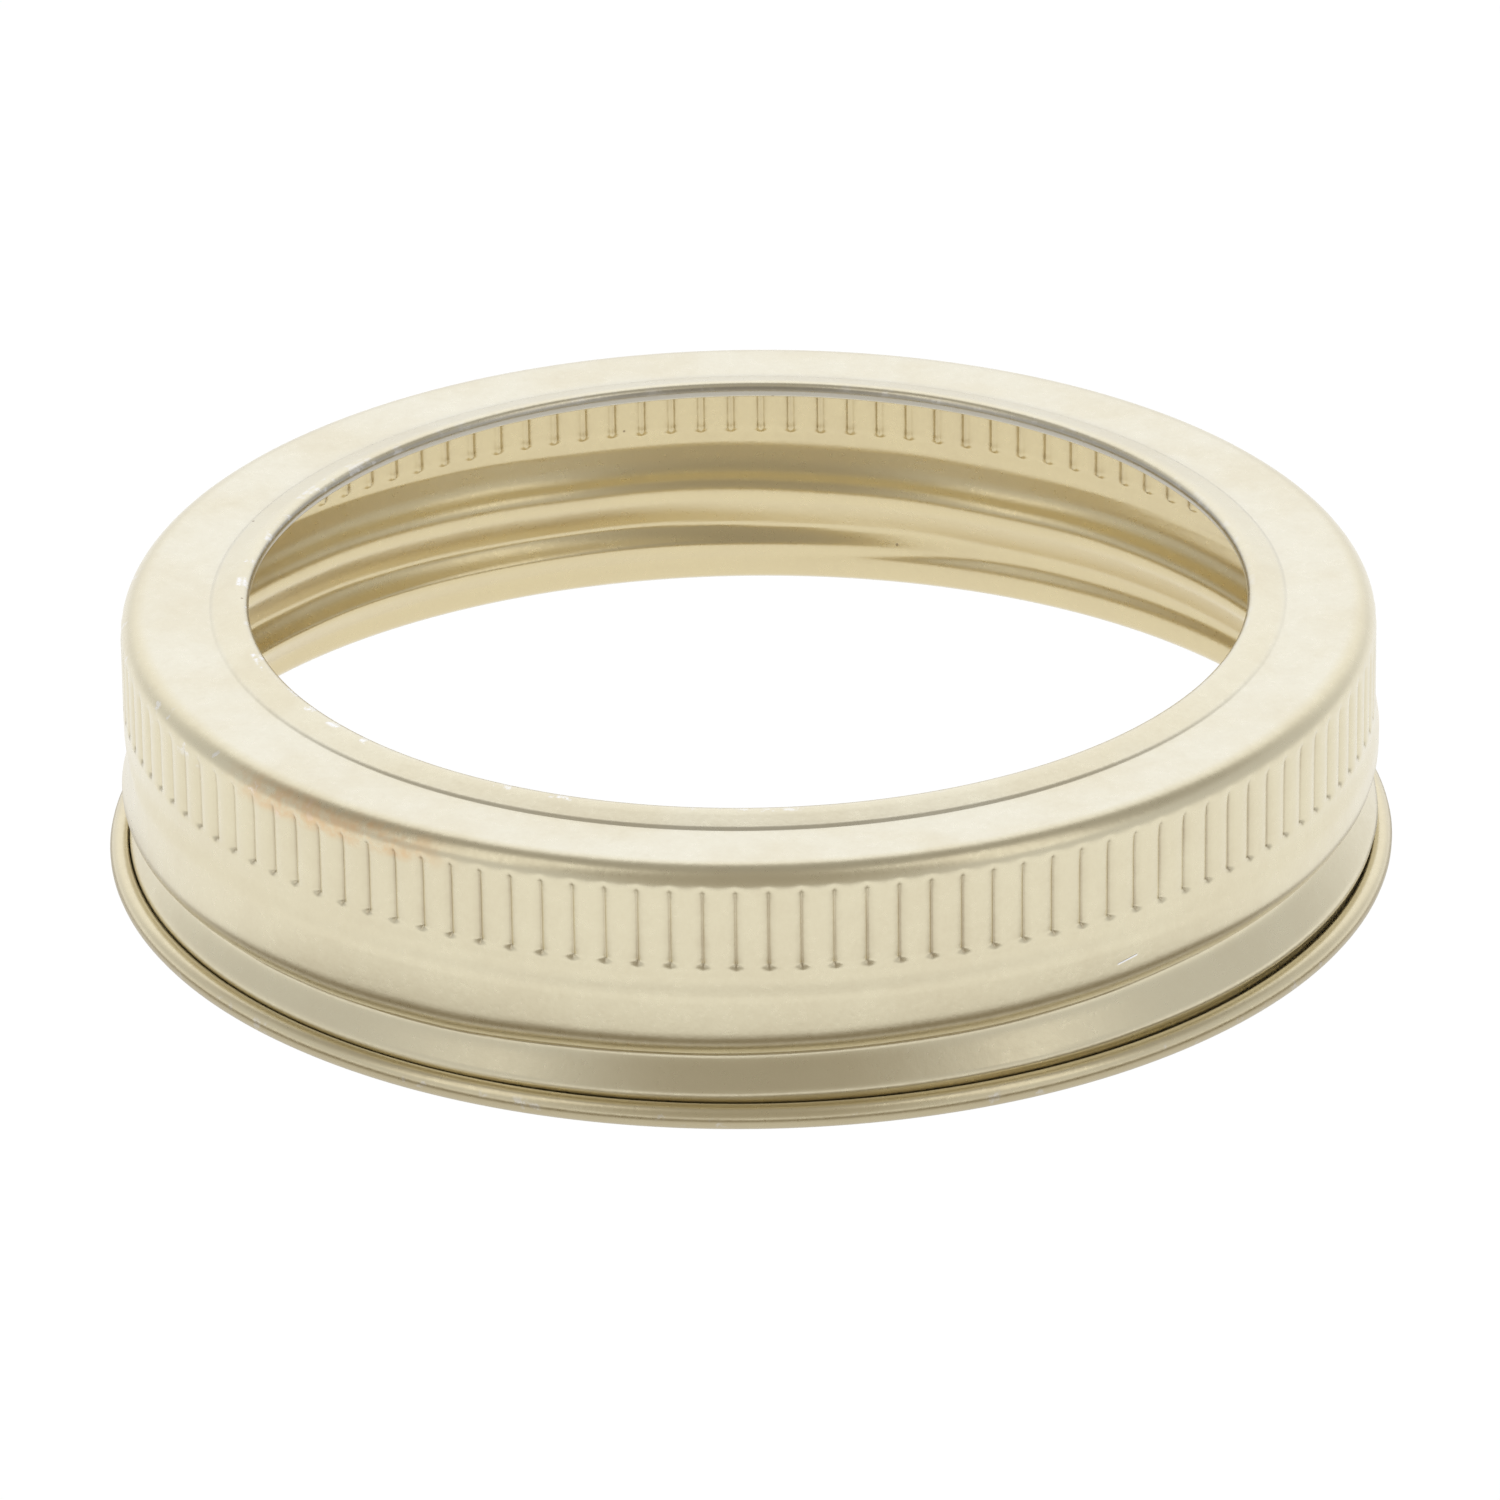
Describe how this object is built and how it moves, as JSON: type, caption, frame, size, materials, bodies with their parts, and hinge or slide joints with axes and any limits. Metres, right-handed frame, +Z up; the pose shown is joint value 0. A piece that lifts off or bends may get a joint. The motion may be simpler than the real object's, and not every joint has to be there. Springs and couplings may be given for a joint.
{
  "type": "preserving jar screw band",
  "caption": "Threaded sheet-metal ring that holds a flat lid on a preserving jar: open top with hemmed edge, fluted grip, rolled internal thread, rolled bottom edge.",
  "frame": {"origin": "on the band's axis, in the plane that the rolled bottom edge stands on", "axes": "+Z up along the axis, towards the open top; +X and +Y across, with the thread starting on the -X side"},
  "size_m": [0.074, 0.074, 0.016],
  "materials": {
    "lacquered_tinplate": "satin pale champagne-gold lacquer on tinplate"
  },
  "bodies": {
    "root": {"screw_band": "lacquered_tinplate"}
  },
  "joints": []
}
